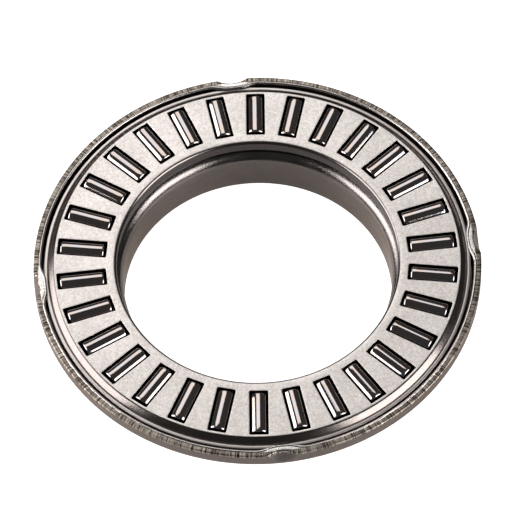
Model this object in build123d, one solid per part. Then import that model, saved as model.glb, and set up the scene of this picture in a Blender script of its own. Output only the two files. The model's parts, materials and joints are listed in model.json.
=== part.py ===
from build123d import *
import math
import os

# A thrust needle roller bearing.  Its axis is Z.  The lower end of the race's
# sleeve stands on the plane z = 0, and the rollers are on top.
# All lengths are in millimetres and all angles in degrees.

# ---- rollers ----
ROLLER_COUNT = 30
ROLLER_DIAMETER = 3.0
ROLLER_LENGTH = 6.8
ROLLER_CORNER = 0.3          # rounding between the cylinder and its flat ends
PITCH_RADIUS = 27.1          # from the bearing's axis to the rollers' middle
ROLLER_GAP = 0.02            # running gap between the rollers and the raceway

# ---- race: one pressing of even thickness ----
RACE_SHEET = 1.2
RACE_RADIUS = 34.5           # outside of the upturned rim
BORE_RADIUS = 20.8           # inside of the downturned sleeve
SLEEVE_DROP = 6.4            # from the race's seat face to the sleeve's lower end
BORE_BEND = 1.9              # convex bend between the raceway and the bore
RIM_BEND = 0.3               # concave bend between the raceway and the rim
RIM_LIP = 0.25               # rounding of the rim's upper inner edge
SLEEVE_CHAMFER = 0.3         # both lower edges of the sleeve
RIM_BELOW_CAGE = 0.5         # the rim's top lies this far below the cage's top

# ---- stakes: the rim is pressed inwards to keep the cage in ----
STAKE_COUNT = 4
STAKE_DEPTH = 0.87           # of the dent, at the rim's top
STAKE_HEIGHT = 2.05          # where the dent runs out, below the rim's top
STAKE_PUNCH_RADIUS = 4.6
STAKE_TIP_RADIUS = 32.55     # how near the displaced lip comes to the axis
STAKE_TIP_HALF = 1.4         # half the width of the lip's nearly straight middle
STAKE_TIP_CROWN = 0.06       # how far the middle's ends stand back from its centre
STAKE_LIP_HALF = 4.0         # half the width over which the inner wall is displaced
STAKE_LIP_THICKNESS = 0.31   # of the lip where it hangs over the cage
STAKE_LIP_DROP = 0.95        # where the lip has run out into the rim's wall

# ---- cage: two pressed channels, one inside the other ----
CAGE_SHEET = 0.5
CAGE_HEIGHT = 2.4
CAGE_BORE_RADIUS = 21.65     # bore side of the upper half's inner flange
SHOULDER_RADIUS = 32.3       # outside of the upper half's outer flange
SHOULDER_BEND = 1.03
CAGE_BORE_BEND = 0.55
FLOOR_BORE_BEND = 0.7        # lower half, under its inner flange
FLOOR_RIM_BEND = 0.8         # lower half, under its outer flange
CAGE_FIT = 0.03              # gap between the two halves
ROLLED_LIP_ANGLE = 35        # the upper half's lip, rolled under the lower half
CRIMP_ANGLE = 5              # the lower half's flange, crimped over the shoulder
POCKET_LENGTH = 7.66
POCKET_WIDTH = 2.9           # narrower than a roller, so that the cage keeps it
POCKET_CORNER = 0.2

# ---- heights worked out from the dimensions above ----
seat_z = SLEEVE_DROP
raceway_z = seat_z + RACE_SHEET
roller_z = raceway_z + ROLLER_GAP + ROLLER_DIAMETER / 2
cage_top_z = roller_z + CAGE_HEIGHT / 2
cage_bottom_z = roller_z - CAGE_HEIGHT / 2
rim_top_z = cage_top_z - RIM_BELOW_CAGE
rim_inner_radius = RACE_RADIUS - RACE_SHEET


def bent_sheet(path, thickness, side):
    """A ring of even sheet: the path is one of its surfaces, the other lies to one side."""
    outline = offset(path, thickness, side=side, kind=Kind.ARC)
    section = Plane.XZ * make_face(outline.edges())
    return revolve(section, Axis.Z)


def ring_of(shape, count, first_angle=0.0):
    """Copies of a shape at an even pitch about Z."""
    step = 360 / count
    return [Rot(0, 0, first_angle + i * step) * shape for i in range(count)]


def arc_point(centre, radius, angle):
    """A point of a circle, with the angle from the first axis."""
    turn = math.radians(angle)
    return (centre[0] + radius * math.cos(turn), centre[1] + radius * math.sin(turn))


# ---- race ----
def race_pressing():
    path = FilletPolyline(
        (BORE_RADIUS, 0),
        (BORE_RADIUS, raceway_z),
        (rim_inner_radius, raceway_z),
        (rim_inner_radius, rim_top_z),
        radius=[BORE_BEND, RIM_BEND],
    )
    return bent_sheet(path, RACE_SHEET, Side.RIGHT)


def stake_lip():
    """The metal that one stake pushes inwards, over the cage's outer flange."""
    foot_x = math.sqrt(rim_inner_radius**2 - STAKE_LIP_HALF**2)
    brow_x = STAKE_TIP_RADIUS + STAKE_TIP_CROWN
    front = Spline(
        (foot_x, -STAKE_LIP_HALF),
        (brow_x, -STAKE_TIP_HALF),
        (STAKE_TIP_RADIUS, 0),
        (brow_x, STAKE_TIP_HALF),
        (foot_x, STAKE_LIP_HALF),
        tangents=[(STAKE_LIP_HALF, foot_x), (-STAKE_LIP_HALF, foot_x)],
    )
    middle_x = rim_inner_radius + RACE_SHEET / 4
    back = Polyline(
        (foot_x, STAKE_LIP_HALF),
        (middle_x, STAKE_LIP_HALF),
        (middle_x, -STAKE_LIP_HALF),
        (foot_x, -STAKE_LIP_HALF),
    )
    block = extrude(Pos(0, 0, rim_top_z) * make_face([front, back]), -STAKE_LIP_DROP)
    tip_bottom_z = rim_top_z - STAKE_LIP_THICKNESS
    flange_clear_radius = SHOULDER_RADIUS + CAGE_FIT + CAGE_SHEET + 0.1
    room = Polyline(
        (STAKE_TIP_RADIUS - 1, rim_top_z),
        (STAKE_TIP_RADIUS - 1, tip_bottom_z),
        (flange_clear_radius, tip_bottom_z),
        (rim_inner_radius, rim_top_z - STAKE_LIP_DROP),
        (middle_x + 1, rim_top_z - STAKE_LIP_DROP),
        (middle_x + 1, rim_top_z),
        close=True,
    )
    return block & revolve(Plane.XZ * make_face(room), Axis.Z)


def stake_punch():
    """The round-nosed tool that leaves one dent in the rim's outer wall."""
    tilt = math.degrees(math.atan2(STAKE_DEPTH, STAKE_HEIGHT))
    nose_x = RACE_RADIUS - STAKE_DEPTH + STAKE_PUNCH_RADIUS / math.cos(math.radians(tilt))
    tool = Cylinder(STAKE_PUNCH_RADIUS, 4 * STAKE_HEIGHT)
    return Pos(nose_x, 0, rim_top_z) * Rot(0, -tilt, 0) * tool


def is_rim_lip(edge):
    """Whether an edge belongs to the inner edge of the rim, stakes included."""
    middle = edge @ 0.5
    return math.hypot(middle.X, middle.Y) < rim_inner_radius + RACE_SHEET / 4


def make_race():
    race = race_pressing() + ring_of(stake_lip(), STAKE_COUNT)
    top_edges = race.edges().group_by(Axis.Z)[-1]
    race = fillet(top_edges.filter_by(is_rim_lip), RIM_LIP)
    race -= ring_of(stake_punch(), STAKE_COUNT)
    sleeve_edges = race.edges().filter_by(GeomType.CIRCLE).group_by(Axis.Z)[0]
    return chamfer(sleeve_edges, SLEEVE_CHAMFER)


# ---- cage ----
def pockets():
    """The 30 openings, as tall cutters through both halves."""
    plan = RectangleRounded(POCKET_LENGTH, POCKET_WIDTH, POCKET_CORNER)
    cutter = extrude(plan, CAGE_HEIGHT, both=True)
    return ring_of(Pos(PITCH_RADIUS, 0, roller_z) * cutter, ROLLER_COUNT)


def make_cage_upper():
    floor_radius = CAGE_BORE_RADIUS + CAGE_SHEET + CAGE_FIT
    roll_centre = (floor_radius + FLOOR_BORE_BEND, cage_bottom_z + FLOOR_BORE_BEND)
    roll_radius = FLOOR_BORE_BEND + CAGE_FIT + CAGE_SHEET
    rolled_lip = CenterArc(roll_centre, roll_radius, 180 + ROLLED_LIP_ANGLE, -ROLLED_LIP_ANGLE)
    body = FilletPolyline(
        arc_point(roll_centre, roll_radius, 180),
        (CAGE_BORE_RADIUS, cage_top_z),
        (SHOULDER_RADIUS, cage_top_z),
        (SHOULDER_RADIUS, cage_bottom_z + FLOOR_RIM_BEND + CAGE_FIT),
        radius=[CAGE_BORE_BEND, SHOULDER_BEND],
    )
    path = Wire([*rolled_lip.edges(), *body.edges()])
    return bent_sheet(path, CAGE_SHEET, Side.RIGHT) - pockets()


def make_cage_lower():
    bore_radius = CAGE_BORE_RADIUS + CAGE_SHEET + CAGE_FIT
    rim_radius = SHOULDER_RADIUS + CAGE_FIT + CAGE_SHEET
    shoulder_centre = (SHOULDER_RADIUS - SHOULDER_BEND, cage_top_z - SHOULDER_BEND)
    crimp_radius = rim_radius - shoulder_centre[0]
    body = FilletPolyline(
        (bore_radius, cage_top_z - CAGE_SHEET - 4 * CAGE_FIT),
        (bore_radius, cage_bottom_z),
        (rim_radius, cage_bottom_z),
        (rim_radius, shoulder_centre[1]),
        radius=[FLOOR_BORE_BEND, FLOOR_RIM_BEND],
    )
    crimp = CenterArc(shoulder_centre, crimp_radius, 0, CRIMP_ANGLE)
    path = Wire([*body.edges(), *crimp.edges()])
    return bent_sheet(path, CAGE_SHEET, Side.LEFT) - pockets()


# ---- rollers ----
def make_rollers():
    blank = Cylinder(ROLLER_DIAMETER / 2, ROLLER_LENGTH)
    rims = blank.edges().filter_by(GeomType.CIRCLE)
    roller = Pos(PITCH_RADIUS, 0, roller_z) * Rot(0, 90, 0) * fillet(rims, ROLLER_CORNER)
    return ring_of(roller, ROLLER_COUNT)


def main():
    os.makedirs("parts", exist_ok=True)
    export_step(make_race(), "parts/race.step")
    export_step(make_cage_upper(), "parts/cage_upper.step")
    export_step(make_cage_lower(), "parts/cage_lower.step")
    for number, roller in enumerate(make_rollers(), start=1):
        export_step(roller, f"parts/roller_{number:02d}.step")


main()
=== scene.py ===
import json
import math

import bmesh
import bpy
import numpy as np
from mathutils import Matrix, Vector


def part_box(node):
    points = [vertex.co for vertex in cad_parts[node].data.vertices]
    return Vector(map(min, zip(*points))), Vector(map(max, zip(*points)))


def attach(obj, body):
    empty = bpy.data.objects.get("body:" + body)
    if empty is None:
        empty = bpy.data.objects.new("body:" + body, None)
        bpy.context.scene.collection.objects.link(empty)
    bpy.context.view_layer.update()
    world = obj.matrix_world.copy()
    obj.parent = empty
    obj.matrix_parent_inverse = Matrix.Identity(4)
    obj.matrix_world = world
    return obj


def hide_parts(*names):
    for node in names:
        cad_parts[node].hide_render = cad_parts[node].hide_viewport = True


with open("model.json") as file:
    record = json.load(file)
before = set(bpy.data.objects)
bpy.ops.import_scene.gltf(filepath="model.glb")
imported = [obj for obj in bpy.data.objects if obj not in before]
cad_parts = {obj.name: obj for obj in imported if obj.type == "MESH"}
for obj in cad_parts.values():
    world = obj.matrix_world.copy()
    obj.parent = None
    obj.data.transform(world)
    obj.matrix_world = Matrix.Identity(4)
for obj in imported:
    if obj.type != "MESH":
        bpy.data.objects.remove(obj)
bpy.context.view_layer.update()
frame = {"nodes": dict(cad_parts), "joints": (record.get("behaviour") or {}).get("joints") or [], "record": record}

# A thrust needle roller bearing: a staked steel race, a two-piece sheet cage and the
# rollers. MM turns the sizes below, which are in millimetres, into metres.
MM = 0.001

# ---------------------------------------------------------------- sizes from the frame
mounts = {m["name"]: m for m in frame["record"]["mounts"]}
joints = {j["name"]: j for j in frame["joints"]}
roller_names = sorted(n for n in frame["nodes"] if n.startswith("roller_"))
BORE = mounts["hub_bore"]["dims"]["r_mm"]
SLEEVE_OUT = mounts["sleeve_outside"]["dims"]["r_mm"]
RIM_OUT = mounts["rim_outside"]["dims"]["r_mm"]
SEAT_Z = mounts["seat_face"]["pos_m"][2] / MM
SHEET = SLEEVE_OUT - BORE
RIM_IN = RIM_OUT - SHEET
RACEWAY_Z = SEAT_Z + SHEET
RIM_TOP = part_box("race")[1].z / MM
CAGE_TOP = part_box("cage_upper")[1].z / MM
CAGE_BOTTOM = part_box("cage_lower")[0].z / MM
SHOULDER_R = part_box("cage_upper")[1].x / MM
FLANGE_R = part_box("cage_lower")[1].x / MM
PITCH_R = joints["roller_01_spin"]["pos_m"][0] / MM
ROLLER_R = (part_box("roller_01")[1].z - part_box("roller_01")[0].z) / MM / 2
ROLLER_L = (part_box("roller_01")[1].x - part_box("roller_01")[0].x) / MM
ROLLERS = len(roller_names)
MIDDLE_Z = (CAGE_TOP + CAGE_BOTTOM) / 2
CAGE_HALF = (CAGE_TOP - CAGE_BOTTOM) / 2

# ------------------------------------------------------------------ sizes of the shapes
BORE_BEND = 1.9             # outer radius of the bend from the raceway down into the bore
SLEEVE_EDGE = 0.25
RIM_BEND = 0.3
RIM_LIP = 0.25
RIM_RIDGE = 0.4             # how far out the worn ridge of the rim's top goes
RIDGE_ROUND = 0.18
GROOVE_HALF = 0.05          # half the width of the fine groove beyond the ridge
GROOVE_DEPTH = 0.12
GROOVE_ROUND = 0.03
SHEARED_DROP = 0.04         # how far below the ridge the sheared strip beyond the groove starts
RIM_SLOPE = 0.05            # how far the rim's top falls from the inside to the outside
RIM_CORNER = 0.22
CAGE_SHEET = 0.5
CAGE_BORE = 21.65
CAGE_FIT = 0.03
SHOULDER_START = SHOULDER_R - 0.9       # where the face turns down into the shoulder's slope
SHOULDER_TILT = math.radians(42)
SHOULDER_ROUND = 0.55
CAGE_BORE_BEND = 0.55
FLOOR_BORE_BEND = 0.7
FLOOR_RIM_BEND = 0.8
SHOULDER_FOOT = FLOOR_RIM_BEND + CAGE_FIT
FLANGE_BORE = CAGE_BORE + CAGE_SHEET + CAGE_FIT
ROLLED_LIP = FLOOR_BORE_BEND + CAGE_SHEET + CAGE_FIT
ROLLED_LIP_ANGLE = 35       # in degrees, how far the upper half's lip is rolled under the lower half
CRIMP_CENTRE = 1.03         # how far below the cage's top the arc of the crimp has its middle
CRIMP_RADIUS = CRIMP_CENTRE + CAGE_SHEET + CAGE_FIT
CRIMP_ANGLE = math.radians(5)
CRIMP_SLOPE = 0.05          # how far the crimped edge falls towards its outer side
CRIMP_ROUND = 0.1
FLANGE_ROUND = 0.05         # at the top of the lower half's bore flange
FLANGE_GAP = 0.12
POCKET_LENGTH = 7.66
POCKET_WIDTH = 2.9
POCKET_CORNER = 0.2
POCKET_EDGE = 0.05          # rounding of the pockets' stamped edges
ROLLER_CORNER = 0.3
STAKES = 4
STAKE_DEPTH = 0.87          # how far the punch goes into the rim's outside, at the top
STAKE_HEIGHT = 2.05         # over which the punched groove runs out
STAKE_PUNCH = 4.6           # radius of the round punch
STAKE_EDGE = 0.05           # rounding where the groove meets the rim
STAKE_TIP = 32.55           # how near the displaced lip comes to the axis
STAKE_TIP_HALF = 0.9        # half the width of the lip's nearly straight middle
STAKE_LIP_HALF = 4.0        # half the width over which the inner wall is displaced
STAKE_LIP_THICKNESS = 0.31  # of the lip where it hangs over the cage
STAKE_LIP_DROP = 0.95       # where the lip has run out into the rim's wall
CAGE_CLEARANCE = 0.1        # between the cage and the displaced wall below the lip

# ------------------------------------------------------------------- fineness of meshes
MERGE = 0.002               # points nearer than this are joined
SHARP = 50                  # in degrees: edges that turn by more than this stay sharp
SHARP_RACE = 55
RACEWAY_STEP = 5.0
RIM_STEP = 0.1              # up the rim's inner wall and over its top
RIM_WALL_STEP = 0.14
SLEEVE_STEP = 2.0
CAGE_STEP = 0.4             # along the cage's flanges and shoulder
ONE_STEP = 50.0             # longer than any side, which stays in one piece
ROLLER_END_STEP = 0.4
ROLLER_SIDE_STEP = 0.6
STAKE_REACH = 1.15          # how much wider than the lip the fine stretch at a stake is
STAKE_STEPS = 92            # round the rim at each stake
BETWEEN_STEPS = 100         # round the rim from one stake to the next
SECTOR_STEPS = 16           # round the cage in each pocket's share of it
SIDE_STEPS = 14             # along a pocket
CORNER_STEPS = 3            # in half of a pocket's corner
EDGE_STEPS = 3              # in the rounding of a pocket's edge
LIP_STEPS = 8
ROLLER_STEPS = 72


# ------------------------------------------------------------------------ mesh helpers
def corner_arc(before, corner, after, radius, steps):
    """The points of the round at one corner of an outline."""
    corner = np.array(corner, float)
    a = np.array(before, float) - corner
    b = np.array(after, float) - corner
    a /= np.linalg.norm(a)
    b /= np.linalg.norm(b)
    half = math.acos(np.clip(a @ b, -1, 1)) / 2
    reach = radius / math.tan(half)
    middle = (a + b) / np.linalg.norm(a + b)
    centre = corner + middle * radius / math.sin(half)
    start = corner + a * reach - centre
    end = corner + b * reach - centre
    sweep = math.pi - 2 * half
    turn = 1 if start[0] * end[1] - start[1] * end[0] > 0 else -1
    points = []
    for i in range(steps + 1):
        angle = turn * sweep * i / steps
        c, s = math.cos(angle), math.sin(angle)
        x, y = c * start[0] - s * start[1], s * start[0] + c * start[1]
        points.append((centre[0] + x, centre[1] + y))
    return points


def rounded_outline(corners, spacing, closed=True):
    """Points of an outline: corners are (r, z, radius), and spacing is the longest straight step
    after each corner. Large rounds get more steps than small ones."""
    count = len(corners)
    arcs = []
    for i, (r, z, radius) in enumerate(corners):
        if radius == 0 or (not closed and i in (0, count - 1)):
            arcs.append([(r, z)])
            continue
        before, after = corners[i - 1][:2], corners[(i + 1) % count][:2]
        steps = max(3, round(6 * radius**0.5) + 2)
        arcs.append(corner_arc(before, (r, z), after, radius, steps))
    points = []
    for i, arc in enumerate(arcs):
        points += arc
        if i == count - 1 and not closed:
            break
        start, end = np.array(arc[-1]), np.array(arcs[(i + 1) % count][0])
        parts = max(1, math.ceil(np.linalg.norm(end - start) / spacing[i]))
        points += [tuple(start + (end - start) * k / parts) for k in range(1, parts)]
    return points


def arc(centre, radius, start, end, steps):
    """Points of an arc between two angles in degrees."""
    angles = np.radians(np.linspace(start, end, steps + 1))
    return [(centre[0] + radius * math.cos(a), centre[1] + radius * math.sin(a)) for a in angles]


def new_mesh(name, points, faces, sharp_angle, material):
    """A smooth-shaded mesh from points in millimetres, with points that coincide joined and edges
    sharper than sharp_angle, in degrees, left sharp."""
    mesh = bpy.data.meshes.new(name)
    mesh.from_pydata((np.asarray(points) * MM).tolist(), [], faces)
    work = bmesh.new()
    work.from_mesh(mesh)
    bmesh.ops.remove_doubles(work, verts=work.verts, dist=MERGE * MM)
    bmesh.ops.recalc_face_normals(work, faces=work.faces)
    work.to_mesh(mesh)
    work.free()
    mesh.shade_smooth()
    mesh.set_sharp_from_angle(angle=math.radians(sharp_angle))
    mesh.materials.append(material)
    return mesh


def new_piece(name, mesh, node, body, place=Matrix.Identity(4)):
    """An object with this mesh that stands for a CAD node and moves with its body."""
    piece = bpy.data.objects.new(name, mesh)
    piece.matrix_world = place
    bpy.context.scene.collection.objects.link(piece)
    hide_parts(node)
    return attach(piece, body)


def ring_faces(rings, length, closed_rings=True, closed_length=True):
    """Quads between rings of points, each ring holding length points. The last ring joins the first
    unless closed_rings is off, and a ring's last point its first unless closed_length is off."""
    faces = []
    for i in range(rings if closed_rings else rings - 1):
        a, b = i * length, (i + 1) % rings * length
        for k in range(length if closed_length else length - 1):
            n = (k + 1) % length
            faces.append((a + k, b + k, b + n, a + n))
    return faces


# -------------------------------------------------------------------------- materials
class Steel:
    """A metal material and the nodes that vary its colour, roughness and bump by place. Heights, radii
    and grain sizes are in millimetres, and angle_mm is the length of the arc from +X at the rim."""

    def __init__(self, name):
        self.material = bpy.data.materials.new(name)
        self.material.use_nodes = True
        self.nodes = self.material.node_tree.nodes
        self.links = self.material.node_tree.links
        self.shader = self.nodes["Principled BSDF"]
        self.shader.inputs["Metallic"].default_value = 1.0
        place = self.nodes.new("ShaderNodeTexCoord").outputs["Object"]
        split = self.nodes.new("ShaderNodeSeparateXYZ")
        self.links.new(place, split.inputs[0])
        x, y, z = (self.math("MULTIPLY", out, 1 / MM) for out in split.outputs)
        self.x, self.y, self.z = x, y, z
        squares = self.math("ADD", self.math("MULTIPLY", x, x), self.math("MULTIPLY", y, y))
        self.radius = self.math("SQRT", squares)
        self.angle_mm = self.math("MULTIPLY", self.math("ARCTAN2", y, x), RIM_OUT)

    def math(self, operation, a, b=None):
        """Sums with numbers or with other nodes' values."""
        node = self.nodes.new("ShaderNodeMath")
        node.operation = operation
        for socket, value in zip(node.inputs, (a, b)):
            if isinstance(value, bpy.types.NodeSocket):
                self.links.new(value, socket)
            elif value is not None:
                socket.default_value = value
        return node.outputs[0]

    def vector(self, x, y, z):
        """A place in the noise, from numbers or other nodes' values."""
        node = self.nodes.new("ShaderNodeCombineXYZ")
        for socket, value in zip(node.inputs, (x, y, z)):
            if isinstance(value, bpy.types.NodeSocket):
                self.links.new(value, socket)
            else:
                socket.default_value = value
        return node.outputs[0]

    def noise(self, place):
        """Noise with one grain per unit of place, spread over 0 to 1."""
        node = self.nodes.new("ShaderNodeTexNoise")
        node.inputs["Scale"].default_value = 1.0
        node.inputs["Detail"].default_value = 2.0
        self.links.new(place, node.inputs["Vector"])
        return self.spread(node.outputs[0], 0.3, 0.7)

    def spread(self, value, low, high):
        """The value's share of the way from low to high, smoothly, from 0 to 1."""
        node = self.nodes.new("ShaderNodeMapRange")
        node.interpolation_type = "SMOOTHSTEP"
        node.inputs["From Min"].default_value = low
        node.inputs["From Max"].default_value = high
        self.links.new(value, node.inputs["Value"])
        return node.outputs[0]

    def grain(self, size):
        """Noise of this grain size all through the metal."""
        return self.noise(
            self.vector(
                self.math("MULTIPLY", self.x, 1 / size),
                self.math("MULTIPLY", self.y, 1 / size),
                self.math("MULTIPLY", self.z, 1 / size),
            )
        )

    def strokes(self, wide, long):
        """Noise drawn out along the radius: strokes this wide and long on a turned face."""
        return self.noise(
            self.vector(
                self.math("MULTIPLY", self.angle_mm, 1 / wide),
                self.math("MULTIPLY", self.radius, 1 / long),
                self.math("MULTIPLY", self.z, 1 / long),
            )
        )

    def colours(self, value, dark, light):
        """A colour from dark to light by the value."""
        node = self.nodes.new("ShaderNodeMix")
        node.data_type = "RGBA"
        self.links.new(value, node.inputs["Factor"])
        for socket, colour in ((node.inputs[6], dark), (node.inputs[7], light)):
            if isinstance(colour, bpy.types.NodeSocket):
                self.links.new(colour, socket)
            else:
                socket.default_value = (*colour, 1)
        return node.outputs[2]

    def finish(self, colour, roughness, height, depth_mm):
        """Connects the shader: a height of 1 stands depth_mm out of the surface."""
        self.links.new(colour, self.shader.inputs["Base Color"])
        self.links.new(roughness, self.shader.inputs["Roughness"])
        bump = self.nodes.new("ShaderNodeBump")
        bump.inputs["Distance"].default_value = depth_mm * MM
        self.links.new(height, bump.inputs["Height"])
        self.links.new(bump.outputs[0], self.shader.inputs["Normal"])
        return self.material


def race_steel():
    """Dull, oiled strip. The top of the rim is a worn ridge beside a sheared strip with strokes
    across it, and the stakes and the bend into the bore are polished. Each fade gives the places
    where an area starts and where it is complete: heights, radii or, for a stake, the distance from
    its middle. The ridge's edge wavers."""
    top_fade = (RIM_TOP - 0.55, RIM_TOP - 0.35)
    ridge_fade = (RIM_IN + RIM_RIDGE + 0.12, RIM_IN + RIM_RIDGE + 0.02)
    ridge_waver = 0.14
    stake_fade = (3.8, 2.6)
    bend_fade = (BORE + 2.4, BORE + 1.2)
    bend_height_fade = (RACEWAY_Z - 1.5, RACEWAY_Z - 1.0)
    steel = Steel("race_steel")
    waver = steel.math("MULTIPLY", steel.strokes(1.3, 50), ridge_waver)
    ridge_r = steel.math("ADD", steel.radius, waver)
    top = steel.spread(steel.z, *top_fade)
    ridge = steel.spread(ridge_r, *ridge_fade)
    aside = steel.math("MINIMUM", steel.math("ABSOLUTE", steel.x), steel.math("ABSOLUTE", steel.y))
    stake = steel.math("MULTIPLY", ridge, steel.spread(aside, *stake_fade))
    bend = steel.spread(steel.radius, *bend_fade)
    bend = steel.math("MULTIPLY", bend, steel.spread(steel.z, *bend_height_fade))
    fine = steel.grain(0.15)
    patches = steel.grain(3.0)
    strokes = steel.strokes(0.2, 3.0)
    plain = steel.colours(fine, (0.125, 0.109, 0.105), (0.168, 0.148, 0.142))
    plain = steel.colours(steel.math("MULTIPLY", patches, 0.4), plain, (0.2, 0.165, 0.143))
    sheared = steel.colours(strokes, (0.035, 0.025, 0.019), (0.45, 0.39, 0.335))
    polished = steel.colours(fine, (0.18, 0.16, 0.155), (0.24, 0.215, 0.205))
    worn = steel.colours(fine, (0.52, 0.475, 0.45), (0.64, 0.59, 0.56))
    coined = steel.colours(strokes, (0.5, 0.465, 0.445), (0.62, 0.585, 0.56))
    rim = steel.colours(stake, steel.colours(ridge, sheared, worn), coined)
    colour = steel.colours(bend, steel.colours(top, plain, rim), polished)
    rough = steel.math("ADD", steel.math("MULTIPLY", patches, 0.08), 0.28)
    smooth = steel.math("MAXIMUM", bend, steel.math("MULTIPLY", top, ridge))
    rough = steel.math("SUBTRACT", rough, steel.math("MULTIPLY", smooth, 0.15))
    relief = steel.colours(ridge, steel.colours(strokes, (0, 0, 0), (0.6, 0.6, 0.6)), (1, 1, 1))
    rim_height = steel.math("MULTIPLY", steel.math("MULTIPLY", relief, top), 6.0)
    height = steel.math("ADD", rim_height, fine)
    steel.shader.inputs["Specular Tint"].default_value = (0.97, 0.87, 0.8, 1)
    return steel.finish(colour, rough, height, depth_mm=0.008)


def cage_steel():
    """Bright tumbled sheet: matt and grainy on the face and the crimped edge, polished on the bends,
    with painted shade darkening the bore's wall and the pockets' walls. Each fade gives the places
    where an area starts and where it is complete."""
    face_fade = (CAGE_BORE + 0.2, CAGE_BORE + 0.5)
    shoulder_fade = (SHOULDER_START, SHOULDER_START - 0.2)
    outside_fade = (CAGE_HALF - 0.09, CAGE_HALF - 0.02)
    edge_fade = (FLANGE_R - 0.6, FLANGE_R - 0.45)
    # where the painted shade on the bore's wall starts and where it is complete
    bore_shade_fade = (CAGE_BORE + 0.14, CAGE_BORE + 0.03)
    steel = Steel("cage_steel")
    face = steel.spread(steel.radius, *face_fade)
    face = steel.math("MULTIPLY", face, steel.spread(steel.radius, *shoulder_fade))
    height = steel.math("ABSOLUTE", steel.math("SUBTRACT", steel.z, MIDDLE_Z))
    outside = steel.spread(height, *outside_fade)
    # painted shade: the pockets' walls, between the face's top and bottom, get a near-black colour
    painted_pocket_shade = steel.math("MULTIPLY", face, steel.math("SUBTRACT", 1.0, outside))
    face = steel.math("MULTIPLY", face, outside)
    edge = steel.spread(steel.radius, *edge_fade)
    fine = steel.grain(0.16)
    coarse = steel.grain(0.5)
    patches = steel.grain(6.0)
    speckle = steel.math("ADD", steel.math("MULTIPLY", fine, 0.65), steel.math("MULTIPLY", coarse, 0.35))
    matt = steel.colours(speckle, (0.64, 0.577, 0.54), (0.97, 0.91, 0.87))
    bright = steel.colours(fine, (0.16, 0.138, 0.13), (0.22, 0.19, 0.18))
    bright = steel.colours(edge, bright, (0.66, 0.605, 0.575))
    # painted shade: the wall of the cage's bore is darkened where shade falls inside the bore
    bore = steel.spread(steel.radius, *bore_shade_fade)
    bright = steel.colours(bore, bright, (0.085, 0.07, 0.068))
    colour = steel.colours(face, bright, matt)
    # painted shade: near-black colour on the pockets' walls
    colour = steel.colours(painted_pocket_shade, colour, (0.035, 0.028, 0.026))
    rough = steel.math("ADD", steel.math("MULTIPLY", patches, 0.05), 0.16)
    rough = steel.math("ADD", rough, steel.math("MULTIPLY", face, 0.26))
    rough = steel.math("ADD", rough, steel.math("MULTIPLY", edge, 0.2))
    return steel.finish(colour, rough, speckle, depth_mm=0.004)


def roller_steel():
    """Ground and polished: nearly a mirror, with hair-fine grinding marks round it and a faint film of
    oil, brown here and blue there."""
    mark_width, mark_length = 0.04, 2.0
    steel = Steel("roller_steel")
    along = steel.math("MULTIPLY", steel.x, 1 / mark_width)
    marks = steel.noise(steel.vector(along, steel.math("MULTIPLY", steel.y, 1 / mark_length), 0.0))
    oil = steel.grain(2.2)
    colour = steel.colours(oil, (0.42, 0.35, 0.31), (0.37, 0.36, 0.39))
    rough = steel.math("ADD", steel.math("MULTIPLY", marks, 0.05), 0.06)
    return steel.finish(colour, rough, marks, depth_mm=0.0006)


# ------------------------------------------------------------------------------- race
def stake_angles():
    """Steps round the race, finer at each stake."""
    quarter = 2 * math.pi / STAKES
    fine = math.asin(STAKE_REACH * STAKE_LIP_HALF / RIM_IN)
    near = np.linspace(-fine, fine, STAKE_STEPS, endpoint=False)
    far = np.linspace(fine, quarter - fine, BETWEEN_STEPS, endpoint=False)
    return np.concatenate([np.concatenate([near, far]) + i * quarter for i in range(STAKES)])


def soft_min(a, b, width):
    """The smaller of two lengths, with a small round where they cross."""
    blend = np.clip(0.5 + 0.5 * (b - a) / width, 0, 1)
    return b + (a - b) * blend - width * blend * (1 - blend)


def push_stakes(x, y, z):
    """Presses the rim's wall inwards at the stake on the +X side, and gives the new x. The round punch
    leans outwards going down, and dents the outside; the inner wall bulges into a lip over the cage.
    Only the rim's wall moves, with a little margin at its inner side and under the groove."""
    wall_margin, groove_margin = 0.01, 0.3
    radius = np.hypot(x, y)
    across = np.clip((radius - RIM_IN) / (RIM_OUT - RIM_IN), 0, 1)
    below = RIM_TOP - z
    tilt = math.atan2(STAKE_DEPTH, STAKE_HEIGHT)
    side = np.minimum(np.abs(y), 0.999 * STAKE_PUNCH)
    nose = RIM_OUT - STAKE_DEPTH + STAKE_PUNCH / math.cos(tilt) + below * math.tan(tilt)
    punch = nose - np.sqrt(STAKE_PUNCH**2 - side**2) / math.cos(tilt)
    outer = np.sqrt(RIM_OUT**2 - y**2)
    dent = outer - soft_min(outer, punch, STAKE_EDGE)
    ease = np.clip((STAKE_LIP_HALF - np.abs(y)) / (STAKE_LIP_HALF - STAKE_TIP_HALF), 0, 1)
    bulge = (RIM_IN - STAKE_TIP) * ease**2 * (3 - 2 * ease)
    clear = RIM_IN - FLANGE_R - CAGE_CLEARANCE
    slope = np.clip((STAKE_LIP_DROP - below) / (STAKE_LIP_DROP - STAKE_LIP_THICKNESS), 0, 1)
    bulge = np.where(below <= STAKE_LIP_THICKNESS + 1e-6, bulge, np.minimum(bulge, clear * slope))
    shift = bulge * (1 - across) + dent * across
    moved = (radius > RIM_IN - wall_margin) & (below < STAKE_HEIGHT + groove_margin)
    return np.where(moved, x - shift, x)


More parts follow.
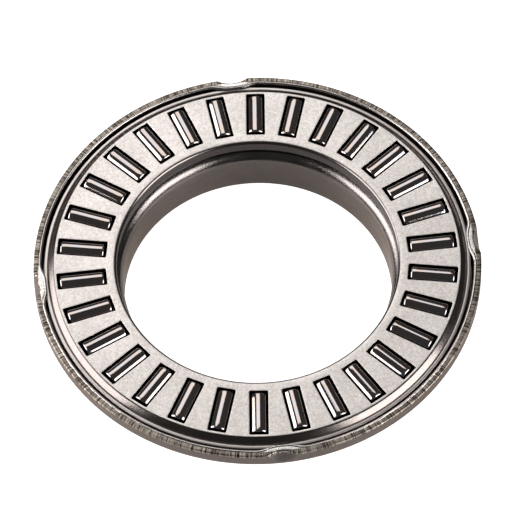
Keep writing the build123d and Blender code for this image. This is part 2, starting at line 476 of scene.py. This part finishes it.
def race_outline():
    """The race's section, round from the sleeve's lower end, up the bore, over the rim and back, as
    corners with the longest step after each."""
    groove = RIM_IN + RIM_RIDGE + GROOVE_HALF
    corners = [
        (BORE, 0, SLEEVE_EDGE, SLEEVE_STEP),
        (BORE, RACEWAY_Z, BORE_BEND, RACEWAY_STEP),
        (RIM_IN, RACEWAY_Z, RIM_BEND, RIM_STEP),
        (RIM_IN, RIM_TOP, RIM_LIP, RIM_STEP),
        (RIM_IN + RIM_RIDGE, RIM_TOP, RIDGE_ROUND, RIM_STEP),
        (groove, RIM_TOP - GROOVE_DEPTH, GROOVE_ROUND, RIM_STEP),
        (groove + GROOVE_HALF, RIM_TOP - SHEARED_DROP, GROOVE_ROUND, RIM_STEP),
        (RIM_OUT, RIM_TOP - RIM_SLOPE, RIM_CORNER, RIM_WALL_STEP),
        (RIM_OUT, SEAT_Z, RIM_BEND + SHEET, RACEWAY_STEP),
        (SLEEVE_OUT, SEAT_Z, BORE_BEND - SHEET, SLEEVE_STEP),
        (SLEEVE_OUT, 0, SLEEVE_EDGE, SLEEVE_STEP),
    ]
    return np.array(rounded_outline([c[:3] for c in corners], [c[3] for c in corners]))


def make_race():
    outline = race_outline()
    angles = stake_angles()
    radius, z = outline[:, 0], outline[:, 1]
    quarter = 2 * math.pi / STAKES
    points = []
    for angle in angles:
        stake = round(angle / quarter) * quarter
        x, y = radius * math.cos(angle - stake), radius * math.sin(angle - stake)
        x = push_stakes(x, y, z)
        c, s = math.cos(stake), math.sin(stake)
        points.append(np.stack([x * c - y * s, x * s + y * c, z], 1))
    faces = ring_faces(len(angles), len(outline))
    mesh = new_mesh("staked_race", np.concatenate(points), faces, SHARP_RACE, race_steel())
    new_piece("staked_race", mesh, "race", "race")


# ------------------------------------------------------------------------------- cage
def pocket_loop(widened, z, mid_angle):
    """One pocket's outline at height z, widened on every side, with as many points as the border of
    its sector."""
    half_l, half_w = POCKET_LENGTH / 2 + widened, POCKET_WIDTH / 2 + widened
    corner = POCKET_CORNER + widened
    c, s = math.cos(mid_angle), math.sin(mid_angle)
    loop = []
    for side, steps in enumerate((SECTOR_STEPS, SIDE_STEPS) * 2):
        along, across = (half_l, half_w) if side % 2 == 0 else (half_w, half_l)
        turn = side * math.pi / 2
        straight = 1 - 2 * CORNER_STEPS / steps
        for k in range(steps):
            t = -1 + 2 * k / steps
            if abs(t) > straight:
                sweep = (abs(t) - straight) / (1 - straight) * math.pi / 4
                p = along - corner + corner * math.cos(sweep)
                q = math.copysign(across - corner + corner * math.sin(sweep), t)
            else:
                p, q = along, t / straight * (across - corner)
            u = PITCH_R + p * math.cos(turn) - q * math.sin(turn)
            v = p * math.sin(turn) + q * math.cos(turn)
            loop.append((u * c - v * s, u * s + v * c, z))
    return np.array(loop)


def sector_loop(inner_r, outer_r, z, mid_angle):
    """The border of one pocket's share of a flat ring."""
    half = math.pi / ROLLERS
    across = np.linspace(-half, half, SECTOR_STEPS + 1)
    along = np.linspace(outer_r, inner_r, SIDE_STEPS + 1)
    polar = [(outer_r, a) for a in across[:-1]]
    polar += [(r, half) for r in along[:-1]]
    polar += [(inner_r, a) for a in across[:0:-1]]
    polar += [(r, -half) for r in along[:0:-1]]
    return np.array([(r * math.cos(mid_angle + a), r * math.sin(mid_angle + a), z) for r, a in polar])


def pocket_rings(inner_r, outer_r, top_z, bottom_z, mid_angle):
    """Loops from the sector's border on the upper face, down the pocket's wall, to the lower face."""
    turns = [k * math.pi / 2 / EDGE_STEPS for k in range(EDGE_STEPS + 1)]
    edge = [(POCKET_EDGE * (1 - math.sin(t)), POCKET_EDGE * (1 - math.cos(t))) for t in turns]
    upper = [(widened, top_z - fallen) for widened, fallen in edge]
    lower = [(widened, bottom_z + fallen) for widened, fallen in reversed(edge)]
    wall = [pocket_loop(widened, z, mid_angle) for widened, z in upper + lower]
    margin = 4 * POCKET_EDGE
    top_border = sector_loop(inner_r, outer_r, top_z, mid_angle)
    bottom_border = sector_loop(inner_r, outer_r, bottom_z, mid_angle)
    top_margin = pocket_loop(margin, top_z, mid_angle)
    bottom_margin = pocket_loop(margin, bottom_z, mid_angle)
    top_face = [top_border, (top_border + top_margin) / 2, top_margin]
    bottom_face = [bottom_margin, (bottom_border + bottom_margin) / 2, bottom_border]
    return top_face + wall + bottom_face


def pocketed_ring(name, outline, material):
    """A mesh of a sheet ring. outline is its section in order round the metal; its two longest steps
    are the flats that the pockets go through."""
    outline = np.array(outline)
    count = len(outline)
    lengths = np.linalg.norm(np.roll(outline, -1, axis=0) - outline, axis=1)
    flats = sorted(np.argsort(lengths)[-2:], key=lambda k: -outline[k, 1])
    top_z, bottom_z = (float(outline[k, 1]) for k in flats)
    ends = (outline[flats[0], 0], outline[(flats[0] + 1) % count, 0])
    inner_r, outer_r = sorted(float(r) for r in ends)
    steps = ROLLERS * SECTOR_STEPS
    points = []
    for k in range(steps):
        a = (k / SECTOR_STEPS - 0.5) * 2 * math.pi / ROLLERS
        points.append([(r * math.cos(a), r * math.sin(a), z) for r, z in outline])
    faces = [f for i, f in enumerate(ring_faces(steps, count)) if i % count not in flats]
    start = steps * count
    for pocket in range(ROLLERS):
        rings = pocket_rings(inner_r, outer_r, top_z, bottom_z, pocket * 2 * math.pi / ROLLERS)
        quads = ring_faces(len(rings), len(rings[0]), closed_rings=False)
        faces += [tuple(v + start for v in quad) for quad in quads]
        points += rings
        start += len(rings) * len(rings[0])
    return new_mesh(name, np.concatenate(points), faces, SHARP, material)


def upper_path(inset):
    """The upper half's channel from the rolled lip, over the top, down to the outer edge, this far
    inside its outer surface."""
    centre = (FLANGE_BORE + FLOOR_BORE_BEND, CAGE_BOTTOM + FLOOR_BORE_BEND)
    lip = arc(centre, ROLLED_LIP - inset, 180 + ROLLED_LIP_ANGLE, 180, LIP_STEPS)
    slope_r = SHOULDER_START - inset * math.tan(SHOULDER_TILT / 2)
    drop = (SHOULDER_R - SHOULDER_START) * math.tan(SHOULDER_TILT)
    slope_z = CAGE_TOP - drop - inset * math.tan((math.pi / 2 - SHOULDER_TILT) / 2)
    corners = [
        (*lip[-1], 0),
        (CAGE_BORE + inset, CAGE_TOP - inset, CAGE_BORE_BEND - inset),
        (slope_r, CAGE_TOP - inset, SHOULDER_ROUND - inset),
        (SHOULDER_R - inset, slope_z, SHOULDER_ROUND - inset),
        (SHOULDER_R - inset, CAGE_BOTTOM + SHOULDER_FOOT, 0),
    ]
    spacing = [CAGE_STEP, ONE_STEP, CAGE_STEP, CAGE_STEP]
    return lip[:-1] + rounded_outline(corners, spacing, closed=False)


def lower_outline():
    """The lower half's section, round from the top of its bore flange, under the floor, and back."""
    flange_z = CAGE_TOP - CAGE_SHEET - FLANGE_GAP
    crimp_z = CAGE_TOP - CRIMP_CENTRE + CRIMP_RADIUS * math.sin(CRIMP_ANGLE)
    inner_bore, inner_r = FLANGE_BORE + CAGE_SHEET, FLANGE_R - CAGE_SHEET
    inner_z = CAGE_BOTTOM + CAGE_SHEET
    corners = [
        (FLANGE_BORE, flange_z, FLANGE_ROUND),
        (FLANGE_BORE, CAGE_BOTTOM, FLOOR_BORE_BEND),
        (FLANGE_R, CAGE_BOTTOM, FLOOR_RIM_BEND),
        (FLANGE_R, crimp_z - CRIMP_SLOPE, CRIMP_ROUND),
        (inner_r, crimp_z, CRIMP_ROUND),
        (inner_r, inner_z, FLOOR_RIM_BEND - CAGE_SHEET),
        (inner_bore, inner_z, FLOOR_BORE_BEND - CAGE_SHEET),
        (inner_bore, flange_z, FLANGE_ROUND),
    ]
    return rounded_outline(corners, [CAGE_STEP, ONE_STEP] * 4)


def make_cage():
    steel = cage_steel()
    upper = pocketed_ring("cage_top_half", upper_path(0) + upper_path(CAGE_SHEET)[::-1], steel)
    new_piece("cage_top_half", upper, "cage_upper", "cage")
    lower = pocketed_ring("cage_floor_half", lower_outline(), steel)
    new_piece("cage_floor_half", lower, "cage_lower", "cage")


# ---------------------------------------------------------------------------- rollers
def make_rollers():
    """One roller's mesh, turned from its section, at the place of each roller joint."""
    half = ROLLER_L / 2
    corners = [
        (0, -half, 0),
        (ROLLER_R, -half, ROLLER_CORNER),
        (ROLLER_R, half, ROLLER_CORNER),
        (0, half, 0),
    ]
    spacing = [ROLLER_END_STEP, ROLLER_SIDE_STEP, ROLLER_END_STEP]
    section = rounded_outline(corners, spacing, closed=False)
    points = []
    for k in range(ROLLER_STEPS):
        a = 2 * math.pi * k / ROLLER_STEPS
        points.append([(x, r * math.cos(a), r * math.sin(a)) for r, x in section])
    faces = ring_faces(ROLLER_STEPS, len(section), closed_length=False)
    mesh = new_mesh("roller", np.concatenate(points), faces, SHARP, roller_steel())
    for name in roller_names:
        joint = joints[f"{name}_spin"]
        turn = Vector(joint["axis"]).to_track_quat("X", "Z").to_matrix().to_4x4()
        place = Matrix.Translation(Vector(joint["pos_m"])) @ turn
        new_piece(f"polished_{name}", mesh, name, name, place)


make_race()
make_cage()
make_rollers()


# ------------------------------------------------------------------------------ studio
# Distances are in metres here, and directions in degrees: azimuth from +X towards +Y, and
# elevation up from level. The lens and the sensor are in millimetres, and the camera's shift
# is in shares of the picture's width.
AIM = Vector((0, 0, CAGE_TOP * MM))
SOFTBOX_DISTANCE = 0.5
FLOOR_REACH = 3.0
TABLE_REACH = 0.055
TABLE_LIFT = 0.00001
GROUND_GLOW = 0.8
ROOM_GLOW = 0.065
GROUND_EDGE = -0.3          # upward part of a direction: below this it meets the bright ground
ROOM_EDGE = -0.05           # and above this the dark room
CAMERA_AZIMUTH = -95.024
CAMERA_ELEVATION = 57.809
CAMERA_ROLL = -1.804
CAMERA_DISTANCE = 0.7363
CAMERA_LENS = 334.6
CAMERA_SENSOR = 36
CAMERA_SHIFT = (0.0005825, 0.0056117)
CAMERA_RANGE = 20


def direction(azimuth, elevation):
    """The direction from the object, as a vector of length one."""
    a, e = math.radians(azimuth), math.radians(elevation)
    return Vector((math.cos(a) * math.cos(e), math.sin(a) * math.cos(e), math.sin(e)))


def softbox(name, azimuth, elevation, wide, high, radiance):
    """An area light that covers so many degrees across and up, seen from the object."""
    light = bpy.data.lights.new(name, "AREA")
    light.shape = "RECTANGLE"
    light.size = 2 * SOFTBOX_DISTANCE * math.tan(math.radians(wide / 2))
    light.size_y = 2 * SOFTBOX_DISTANCE * math.tan(math.radians(high / 2))
    light.energy = radiance * math.pi * light.size * light.size_y
    lamp = bpy.data.objects.new(name, light)
    back = direction(azimuth, elevation)
    lamp.location = AIM + back * SOFTBOX_DISTANCE
    lamp.rotation_euler = back.to_track_quat("Z", "Y").to_euler()
    lamp.visible_camera = False
    bpy.context.scene.collection.objects.link(lamp)


softbox("left_softbox", azimuth=173, elevation=23, wide=56, high=42, radiance=5.6)
softbox("right_softbox", azimuth=-33, elevation=20, wide=44, high=44, radiance=6.0)
softbox("back_panel", azimuth=99, elevation=51, wide=34, high=32, radiance=2.02)


def paper(name, shade, glow, gloss):
    """Paper that glows a little, so that shadows on it stay pale, with a soft gloss from 0 to 1."""
    material = bpy.data.materials.new(name)
    material.use_nodes = True
    shader = material.node_tree.nodes["Principled BSDF"]
    shader.inputs["Base Color"].default_value = (shade, shade, shade, 1)
    shader.inputs["Roughness"].default_value = 0.35
    shader.inputs["IOR"].default_value = 3.0
    shader.inputs["Specular IOR Level"].default_value = gloss / 2
    shader.inputs["Emission Color"].default_value = (1, 0.985, 0.97, 1)
    shader.inputs["Emission Strength"].default_value = glow
    return material


def disc(name, reach, z, material):
    """A flat round sheet of the studio, which isn't part of the object."""
    corners = [(math.cos(a) * reach, math.sin(a) * reach, z) for a in np.radians(range(0, 360, 5))]
    mesh = bpy.data.meshes.new(name)
    mesh.from_pydata(corners, [], [tuple(range(len(corners)))])
    mesh.materials.append(material)
    sheet = bpy.data.objects.new(name, mesh)
    bpy.context.scene.collection.objects.link(sheet)
    return sheet


def make_floor():
    """A wide white floor, and the dimmer table right under the bearing that its steel mirrors."""
    floor = disc("floor", FLOOR_REACH, 0.0, paper("floor_paper", shade=0.8, glow=0.95, gloss=0.0))
    floor.visible_glossy = False
    table_paper = paper("table_paper", shade=0.8, glow=0.25, gloss=1.0)
    table = disc("table", TABLE_REACH, TABLE_LIFT, table_paper)
    table.visible_camera = False
    table.visible_diffuse = False
    table.visible_shadow = False


make_floor()


def make_world():
    """What the steel mirrors is a dark room over a bright ground; what shows behind it is white."""
    world = bpy.data.worlds.new("studio")
    world.use_nodes = True
    nodes, links = world.node_tree.nodes, world.node_tree.links
    way = nodes.new("ShaderNodeTexCoord").outputs["Generated"]
    split = nodes.new("ShaderNodeSeparateXYZ")
    links.new(way, split.inputs[0])
    shade = nodes.new("ShaderNodeMapRange")
    shade.inputs["From Min"].default_value = GROUND_EDGE
    shade.inputs["From Max"].default_value = ROOM_EDGE
    shade.inputs["To Min"].default_value = GROUND_GLOW
    shade.inputs["To Max"].default_value = ROOM_GLOW
    links.new(split.outputs["Z"], shade.inputs["Value"])
    straight = nodes.new("ShaderNodeLightPath").outputs["Is Camera Ray"]
    strength = nodes.new("ShaderNodeMath")
    strength.operation = "MAXIMUM"
    links.new(shade.outputs[0], strength.inputs[0])
    links.new(straight, strength.inputs[1])
    links.new(strength.outputs[0], nodes["Background"].inputs["Strength"])
    nodes["Background"].inputs["Color"].default_value = (1, 1, 1, 1)
    bpy.context.scene.world = world


make_world()
bpy.context.scene.view_settings.view_transform = "Standard"


# ------------------------------------------------------------------------------ camera
def make_camera():
    roll = math.radians(CAMERA_ROLL)
    back = direction(CAMERA_AZIMUTH, CAMERA_ELEVATION)
    level = Vector((0, 0, 1)).cross(back).normalized()
    upright = back.cross(level)
    right = math.cos(roll) * level + math.sin(roll) * upright
    up = math.cos(roll) * upright - math.sin(roll) * level
    camera = bpy.data.objects.new("camera", bpy.data.cameras.new("camera"))
    camera.data.sensor_width = CAMERA_SENSOR
    camera.data.lens = CAMERA_LENS
    camera.data.shift_x, camera.data.shift_y = CAMERA_SHIFT
    camera.data.clip_end = CAMERA_RANGE
    place = AIM + back * CAMERA_DISTANCE
    camera.matrix_world = Matrix((
        (right.x, up.x, back.x, place.x),
        (right.y, up.y, back.y, place.y),
        (right.z, up.z, back.z, place.z),
        (0, 0, 0, 1),
    ))
    bpy.context.scene.collection.objects.link(camera)
    bpy.context.scene.camera = camera


make_camera()
